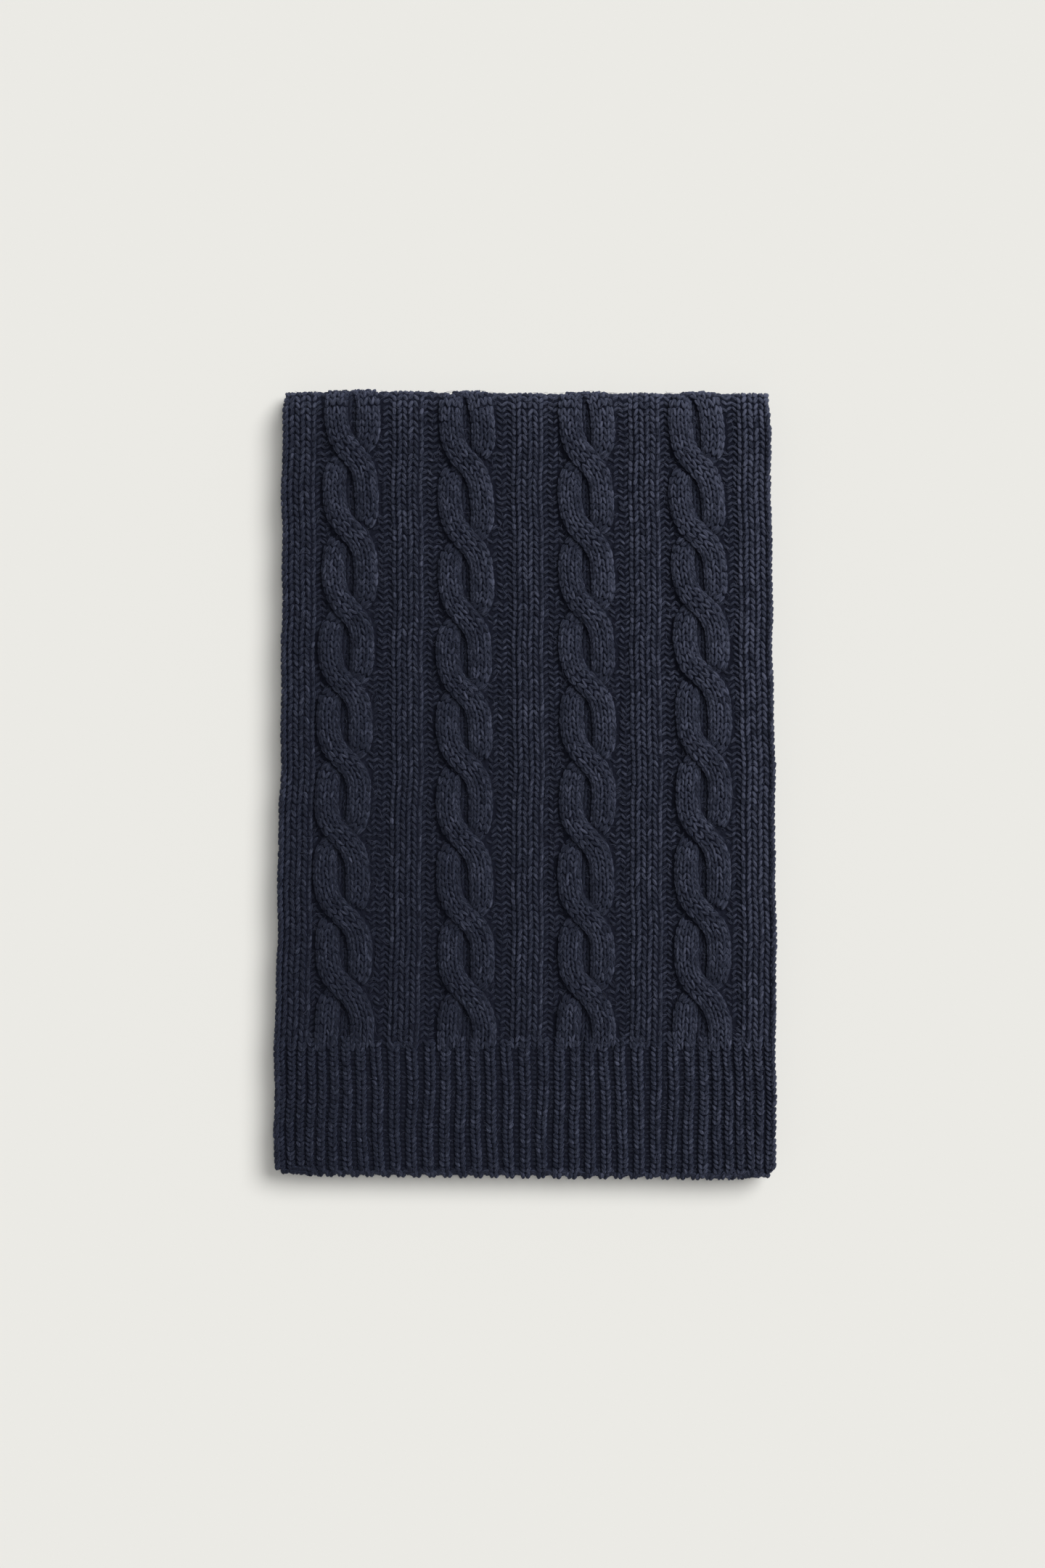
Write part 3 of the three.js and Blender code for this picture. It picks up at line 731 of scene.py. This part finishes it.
class SCARF_OT_top_cloth(ScarfOperator, bpy.types.Operator):
    """The ground of the top ply: one wall with the knit's relief outside and a plain inside"""

    bl_idname = "scarf.top_cloth"
    bl_label = "Top ply"

    def make(self, look, rng):
        columns, rows, depth, inside = 112, 150, 1.5, 0.2
        bm = bmesh.new()
        bmesh.ops.create_grid(bm, x_segments=columns, y_segments=rows, size=0.5)
        outer = list(bm.verts)
        rim = [edge for edge in bm.edges if edge.is_boundary]
        copied = bmesh.ops.duplicate(bm, geom=bm.verts[:] + bm.edges[:] + bm.faces[:])["geom"]
        inner = [item for item in copied if isinstance(item, bmesh.types.BMVert)]
        inner_rim = [item for item in copied if isinstance(item, bmesh.types.BMEdge) and item.is_boundary]
        bmesh.ops.reverse_faces(bm, faces=[item for item in copied if isinstance(item, bmesh.types.BMFace)])
        bmesh.ops.bridge_loops(bm, edges=rim + inner_rim)
        start, end = 1.5, FLAT_LENGTH + FOLD_LENGTH + 6
        for verts, lining in ((outer, False), (inner, True)):
            place = np.array([vert.co for vert in verts])
            q = place[:, 0] * (NOMINAL_WIDTH - 3)
            from_hem = mix(start, end, place[:, 1] + 0.5)
            height = pressed(q, from_hem, knit_height(q, from_hem)) - depth
            height = np.full_like(height, inside) if lining else np.maximum(height, inside + 0.5)
            points = folded(across(q, from_hem), from_hem, height)
            points[:, 2] = np.maximum(points[:, 2], OVER_FLOOR)
            for vert, point in zip(verts, points):
                vert.co = Vector(point) * MM
        bmesh.ops.recalc_face_normals(bm, faces=bm.faces)
        mesh = bpy.data.meshes.new("top_ply_cloth")
        bm.to_mesh(mesh)
        bm.free()
        piece("top_ply_cloth", mesh, knit_ground(look), "top_ply")


class SCARF_OT_hidden_cloth(ScarfOperator, bpy.types.Operator):
    """The ground of the plies underneath: one rounded solid, layered at its edges"""

    bl_idname = "scarf.hidden_cloth"
    bl_label = "Hidden plies"

    def make(self, look, rng):
        bm = bmesh.new()
        bm.from_mesh(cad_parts["hidden_plies"].data)
        bmesh.ops.remove_doubles(bm, verts=bm.verts, dist=0.01 * MM)
        sunk = 1.3 * MM
        bm.normal_update()
        for vert in bm.verts:
            flat = Vector((vert.normal.x, vert.normal.y, 0))
            vert.co -= flat * sunk
        mesh = bpy.data.meshes.new("hidden_plies_cloth")
        bm.to_mesh(mesh)
        bm.free()
        piece("hidden_plies_cloth", mesh, knit_ground(look), "hidden_plies")


class SCARF_OT_cables(ScarfOperator, bpy.types.Operator):
    """Four cables, each of two strands of four stitches that cross every twelve rows, and the crease between"""

    bl_idname = "scarf.cables"
    bl_label = "Cables"

    def make(self, look, rng):
        yarn = yarn_leg(6, 4)
        depth = look.leg_depth / 2 - 0.2
        angles = np.radians(np.linspace(-70, 70, 8))
        leans = look.cable_lean * np.tile([-1, 1], 4)
        rows = knit_rows(HEM_LENGTH - JOIN["under"], FLAT_LENGTH + 0.9 * FOLD_LENGTH, look.course)
        for number, cable in enumerate(CABLES, 1):
            groups = []
            for strand in (0, 1):
                surface = strand_surface(cable, strand, depth)
                on_right = smooth((strand_path(rows, cable, strand)[0] - cable_course(rows, cable)[0]) / 8)
                painted_rim_light = STRAND_PAINTED_RIM_LIGHT * on_right[:, None] * np.clip(np.degrees(angles) / 20 - 2, 0, 1.5)
                q, along, height = on_strand(cable, strand, depth, angles[None, :], rows[:, None])
                behind = from_behind(rows, cable, strand)
                painted_shade_behind = STRAND_PAINTED_SHADE["by"] * np.exp(-((behind / STRAND_PAINTED_SHADE["over"]) ** 2))
                # The tone is painted: darker in hollows and where the strand goes behind (painted shade), lighter over
                # the strands and more so on their outer right side (painted light).
                legs = lay(
                    surface, angles[None, :], rows[:, None], leans[None, :],
                    (look.leg_width * 0.78, look.leg_length, look.leg_depth * 1.1), rng, step=0.06,
                    depth=painted_hollow_shade(q, along, height + depth) + painted_shade_behind[:, None] - STRAND_PAINTED_LIGHT - painted_rim_light)
                other = strand_rise(q, along, cable, 1 - strand)
                hidden = (GROUND + other > height + 0.9) & (behind < CABLE_PITCH / 2)[:, None]
                groups.append(kept(legs, ~hidden.ravel()))
            beside = STRAND_MIDDLE + np.array([-3.2, -1.1, 1.1, 3.2])
            crease = cable_course(rows, cable)[0][:, None] + beside[None, :]
            at_row = np.repeat(rows[:, None], 4, 1)
            # painted shade: the crease's legs are darker, the more so the deeper they lie
            legs = lay(
                top_surface(1.6), crease, at_row, np.tile(leans[:4], (len(rows), 1)),
                (look.leg_width * 0.8, look.leg_length, look.leg_depth), rng,
                depth=mix(0.35, 1, painted_hollow_shade(crease, at_row, GROUND)))
            groups.append(kept(legs, (cable_rise(crease, at_row) < 1.0).ravel()))
            stitches(f"cable_{number}", wool_yarn(look), (together(groups), yarn))


class SCARF_OT_plain_knit(ScarfOperator, bpy.types.Operator):
    """Three panels and two borders of plain knit, three stitches wide each"""

    bl_idname = "scarf.plain_knit"
    bl_label = "Panels and borders"

    def make(self, look, rng):
        yarn = yarn_leg(6, 4)
        surface = top_surface(look.leg_depth / 2 - 0.2)
        rows = knit_rows(HEM_LENGTH - 3, FLAT_LENGTH + 0.9 * FOLD_LENGTH, look.course)
        leans = look.lean * np.tile([-1, 1], 3)
        size = (look.leg_width, look.leg_length, look.leg_depth)
        for number, centre in enumerate(PANEL_CENTRES, 1):
            legs = centre + np.linspace(-1, 1, 6) * (PANEL_HALF_WIDTH - look.leg_width / 2 + 0.1)
            # painted shade: legs are darker where they lie low among higher knit
            depth = painted_hollow_shade(legs[None, :], rows[:, None], GROUND + PLAIN_RISE)
            laid = lay(surface, legs[None, :], rows[:, None], leans[None, :], size, rng, depth=depth)
            stitches(f"panel_{number}", wool_yarn(look), (laid, yarn))
        # painted light: the right border's tone is lifted, as it faces the light from the right
        for name, side, pale in (("left", -1, 0), ("right", 1, 0.12)):
            inner, outer = BORDER_INNER_EDGE + look.leg_width / 2, NOMINAL_WIDTH / 2 - 0.9
            legs = side * np.linspace(outer, inner, 6)
            legs.sort()
            laid = lay(surface, legs[None, :], rows[:, None], leans[None, :], size, rng, depth=-pale)
            stitches(f"border_{name}", wool_yarn(look), (laid, yarn))


class SCARF_OT_purl_ground(ScarfOperator, bpy.types.Operator):
    """Purl stitches in the gutters beside the cables and panels"""

    bl_idname = "scarf.purl_ground"
    bl_label = "Purl gutters"

    def make(self, look, rng):
        rows = knit_rows(HEM_LENGTH - 1, FLAT_LENGTH + 0.9 * FOLD_LENGTH, look.course)
        bumps = []
        for low, high in GUTTERS:
            count = round((high - low) / (look.wale / 2))
            columns = low + (np.arange(count) + 0.5) * (high - low) / count
            place = np.repeat(columns[None, :], len(rows), 0)
            slant = look.purl_lean * np.where(np.arange(count) % 2, 1, -1)
            lean = np.pi / 2 + slant[None, :] + rng.normal(0, 0.12, place.shape)
            row = rows[:, None] + rng.normal(0, 0.25, place.shape)
            place = place + rng.normal(0, 0.15, place.shape)
            # painted shade: the purl bumps are darker, the more so the deeper they lie between the raised parts
            depth = mix(0.25, 1, 0.6 * painted_hollow_shade(place, row, GROUND))
            size = (look.leg_width * 0.82, look.wale * 0.78, look.leg_depth * 0.8)
            legs = lay(top_surface(1.3), place, row, lean, size, rng, dip=0.0, depth=depth, spread=1.2)
            covered = np.maximum(cable_rise(place - 1.2, row), cable_rise(place + 1.2, row)) > 0.8
            bumps.append(kept(legs, ~covered.ravel()))
        stitches("purl_gutters", wool_yarn(look), (together(bumps), yarn_leg(6, 4, bend=0.3, full=0.5)))


class SCARF_OT_ribbed_hem(ScarfOperator, bpy.types.Operator):
    """The ribbed hem: ribs of one knit stitch with a purl valley between them, turning in at the edge"""

    bl_idname = "scarf.ribbed_hem"
    bl_label = "Ribbed hem"

    def make(self, look, rng):
        crests, pitches = rib_places()
        start = HEM_AXIS["from_hem"] - 1.9 * HEM_AXIS["height"]
        rows = knit_rows(start, HEM_LENGTH + 6, look.rib_course)
        narrow = np.clip(pitches / pitches.max(), 0.62, 1)
        columns = np.concatenate([crests - 0.175 * pitches, crests + 0.175 * pitches])
        strays = np.tile(rng.uniform(0, 2 * np.pi, len(crests)), 2)[None, :]
        columns = columns[None, :] + 0.28 * np.sin(rows[:, None] / 11 + strays) * smooth(rows / 10)[:, None]
        columns = columns + ribs_drawn(columns, rows[:, None])
        leans = np.repeat([-look.rib_lean, look.rib_lean], len(crests))
        laid = lay(
            top_surface(look.leg_depth / 2 - 0.2), columns, rows[:, None], leans[None, :],
            (look.leg_width * 0.82, look.leg_length * 0.88, look.leg_depth), rng, dip=0.45, depth=-0.05)
        laid["width"] *= np.broadcast_to(np.tile(narrow, 2)[None, :], columns.shape).reshape(-1, 1)
        ends = np.tile(rng.uniform(HEM_LENGTH - 1, HEM_LENGTH + 6, len(crests)), 2)[None, :]
        laid = kept(laid, (rows[:, None] < ends).ravel())
        stitches("rib_stitches", wool_yarn(look), (laid, yarn_leg(6, 4)))
        valleys = ((crests[1:] + crests[:-1]) / 2)[None, :]
        columns = valleys + ribs_drawn(valleys, rows[:, None])
        # painted shade: the valleys' legs are darker, as they lie deep between the ribs
        laid = lay(top_surface(1.1), columns, rows[:, None], np.pi / 2, (1.7, 3.4, 1.5), rng, dip=0, depth=0.8)
        ends = rng.uniform(HEM_LENGTH - 4, HEM_LENGTH + 3, valleys.shape)
        laid = kept(laid, (rows[:, None] < ends).ravel())
        stitches("rib_valleys", wool_yarn(look), (laid, yarn_leg(5, 3, bend=-0.4)))
        along = np.arange(-NOMINAL_WIDTH / 2 + 4, NOMINAL_WIDTH / 2 - 3, 3.1)
        rows = HEM_AXIS["from_hem"] - np.array([1.45, 2.3, 3.2]) * HEM_AXIS["height"]
        laid = lay(
            top_surface(1.9), along[None, :] + np.array([[0], [1.5], [0]]), rows[:, None],
            np.full((1, 1), np.pi / 2 - 0.35), (2.4, 5.0, 2.4), rng, dip=0, depth=0.2)
        stitches("cast_off_edge", wool_yarn(look), (laid, yarn_leg(6, 4)))


class SCARF_OT_loose_fibres(ScarfOperator, bpy.types.Operator):
    """Loose ends of wool that lie over the stitches, drawn ten times thicker than they are"""

    bl_idname = "scarf.loose_fibres"
    bl_label = "Loose fibres"

    def make(self, look, rng):
        kinds = []
        for arch in (-16, 12):
            count = look.fibres // 2
            places = rng.uniform(3 - NOMINAL_WIDTH / 2, NOMINAL_WIDTH / 2 - 3, count)
            rows = rng.uniform(3, FLAT_LENGTH + 0.55 * FOLD_LENGTH, count)
            lean = rng.uniform(0, 2 * np.pi, count)
            laid = lay(top_surface(-0.1), places, rows, lean, (0.2, 4.4, 0.2), rng, dip=0, depth=-0.8)
            laid["length"] *= rng.uniform(0.5, 1.5, (count, 1))
            kinds.append((laid, yarn_leg(3, 4, bend=3, arch=arch)))
        stitches("loose_fibres", wool_yarn(look), *kinds)


class SCARF_OT_edges(ScarfOperator, bpy.types.Operator):
    """The scarf's two long edges, followed from the hem on top round every fold to the hem under it"""

    bl_idname = "scarf.edges"
    bl_label = "Side edges"

    def make(self, look, rng):
        yarn = yarn_leg(6, 4)
        rows = knit_rows(CORNER_LEFT_OPEN, PATH_ALONG[-1], look.course)
        angles = np.radians([-62, -12, 38])
        leans = look.lean * np.array([-0.8, 0.8, -0.8])
        for name, side in (("left", -1), ("right", 1)):
            surface = edge_surface(side, PLY / 2 - 0.9, 1.9)
            size = (look.leg_width * 0.82, look.leg_length * 0.95, look.leg_depth * 0.9)
            laid = lay(
                surface, side * angles[None, :], rows[:, None], side * leans[None, :], size, rng, step=0.06)
            if side > 0:
                for axis in ("thickness", "width"):
                    laid[axis] *= -1
            stitches(f"edge_{name}", wool_yarn(look), (laid, yarn))


class SCARF_OT_near_end(ScarfOperator, bpy.types.Operator):
    """Below the hem: the near fold of the two lowest plies, and the second ply's own ribbed hem"""

    bl_idname = "scarf.near_end"
    bl_label = "Near end"

    def make(self, look, rng):
        yarn = yarn_leg(6, 4)
        middle = (PATH_ENDS[2] + PATH_ENDS[3]) / 2
        rows = middle + np.arange(-3, 4) * 1.9
        wales = np.arange(-24, 25) * look.wale
        columns = np.concatenate([wales - look.wale / 4, wales + look.wale / 4])
        leans = np.repeat([-look.lean, look.lean], len(wales))
        size = (look.leg_width, look.leg_length * 0.9, look.leg_depth)
        laid = lay(self.end_surface(PLY / 2 - 1.0), columns[None, :], rows[:, None], leans[None, :], size, rng)
        stitches("near_fold", wool_yarn(look), (laid, yarn))
        crests, pitches = rib_places()
        inner = np.abs(crests) < NOMINAL_WIDTH / 2 - 4
        crests, pitches = crests[inner], pitches[inner]
        columns = np.concatenate([crests - 0.165 * pitches, crests + 0.165 * pitches])
        leans = np.repeat([-look.lean, look.lean], len(crests))
        rows = np.arange(-1, 4) * 1.6
        laid = lay(
            self.hem_surface, columns[None, :], rows[:, None], leans[None, :],
            (look.leg_width * 0.9, look.leg_length * 0.75, look.leg_depth), rng)
        stitches("second_hem", wool_yarn(look), (laid, yarn))

    def end_surface(self, lift):
        def place(q, along):
            point, out = on_path(along)
            inset = 2.5 * 2 * q / NOMINAL_WIDTH
            x = across(q, point[..., 0] + HALF + 4) - inset
            return np.stack(
                np.broadcast_arrays(x, point[..., 0] + out[..., 0] * lift, point[..., 1] + out[..., 1] * lift), -1)
        return place

    def hem_surface(self, q, along):
        """The second ply's hem: a half round, from over it to under it, whose right side faces down."""
        reach = 1.5
        turn = np.clip(along / 2.2, -0.6, np.pi + 0.2)
        y = SECOND_HEM_Y - reach * np.sin(turn)
        z = 2.5 * PLY - reach * np.cos(turn)
        return np.stack(np.broadcast_arrays(across(q, np.full_like(q, 12.0)), y, z), -1)


class SCARF_OT_stage(bpy.types.Operator):
    """A pale paper floor, a large soft key from the upper right, even fill, and the camera straight above"""

    bl_idname = "scarf.stage"
    bl_label = "Stage"
    bl_options = {"REGISTER", "UNDO"}

    def execute(self, context):
        look = context.scene.scarf_stage
        bm = bmesh.new()
        bmesh.ops.create_grid(bm, x_segments=1, y_segments=1, size=30)
        bmesh.ops.translate(bm, verts=bm.verts, vec=(0, 0, -0.2 * MM))
        mesh = bpy.data.meshes.new("floor")
        bm.to_mesh(mesh)
        bm.free()
        mesh.materials.append(matt_paper(look))
        floor = bpy.data.objects.new("floor", mesh)
        context.scene.collection.objects.link(floor)

        self.light("soft_key", look.key, look.key_size, (0.58, 0.48, 1))
        self.light("overhead", look.overhead, look.overhead_size, (0.05, 0.04, 1))

        world = bpy.data.worlds.new("even_fill")
        world.use_nodes = True
        background = world.node_tree.nodes["Background"]
        background.inputs["Color"].default_value = (1, 1, 1, 1)
        background.inputs["Strength"].default_value = look.fill
        context.scene.world = world
        context.scene.view_settings.view_transform = "Standard"

        camera = bpy.data.cameras.new("camera")
        camera.lens, camera.sensor_width = look.lens, 36
        camera.clip_start, camera.clip_end = 0.05, 20
        eye = bpy.data.objects.new("camera", camera)
        distance = look.lens / 36 * look.frame_height
        eye.location = Vector((-0.83, 0.62, distance + 20)) * MM
        context.scene.collection.objects.link(eye)
        context.scene.camera = eye
        return {"FINISHED"}

    def light(self, name, strength, angle, towards):
        lamp = bpy.data.lights.new(name, "SUN")
        lamp.energy, lamp.angle = strength, angle
        made = bpy.data.objects.new(name, lamp)
        made.rotation_euler = Vector(towards).to_track_quat("Z", "Y").to_euler()
        bpy.context.scene.collection.objects.link(made)


PIECES = [
    SCARF_OT_top_cloth, SCARF_OT_hidden_cloth, SCARF_OT_cables, SCARF_OT_plain_knit, SCARF_OT_purl_ground,
    SCARF_OT_ribbed_hem, SCARF_OT_loose_fibres, SCARF_OT_edges, SCARF_OT_near_end, SCARF_OT_stage,
]


class SCARF_PT_sidebar(bpy.types.Panel):
    """The scarf's pieces, in the order in which they are made"""

    bl_idname = "SCARF_PT_sidebar"
    bl_label = "Scarf"
    bl_space_type = "VIEW_3D"
    bl_region_type = "UI"
    bl_category = "Scarf"

    def draw(self, context):
        for operator in PIECES:
            self.layout.operator(operator.bl_idname)


CLASSES = [KnitSettings, StageSettings, *PIECES, SCARF_PT_sidebar]


def register():
    for cls in CLASSES:
        bpy.utils.register_class(cls)
    bpy.types.Scene.scarf_knit = bpy.props.PointerProperty(type=KnitSettings)
    bpy.types.Scene.scarf_stage = bpy.props.PointerProperty(type=StageSettings)


def unregister():
    del bpy.types.Scene.scarf_knit
    del bpy.types.Scene.scarf_stage
    for cls in reversed(CLASSES):
        bpy.utils.unregister_class(cls)


def main():
    register()
    bpy.ops.scarf.top_cloth()
    bpy.ops.scarf.hidden_cloth()
    bpy.ops.scarf.cables()
    bpy.ops.scarf.plain_knit()
    bpy.ops.scarf.purl_ground()
    bpy.ops.scarf.ribbed_hem()
    bpy.ops.scarf.loose_fibres()
    bpy.ops.scarf.edges()
    bpy.ops.scarf.near_end()
    bpy.ops.scarf.stage()


if __name__ == "__main__":
    main()
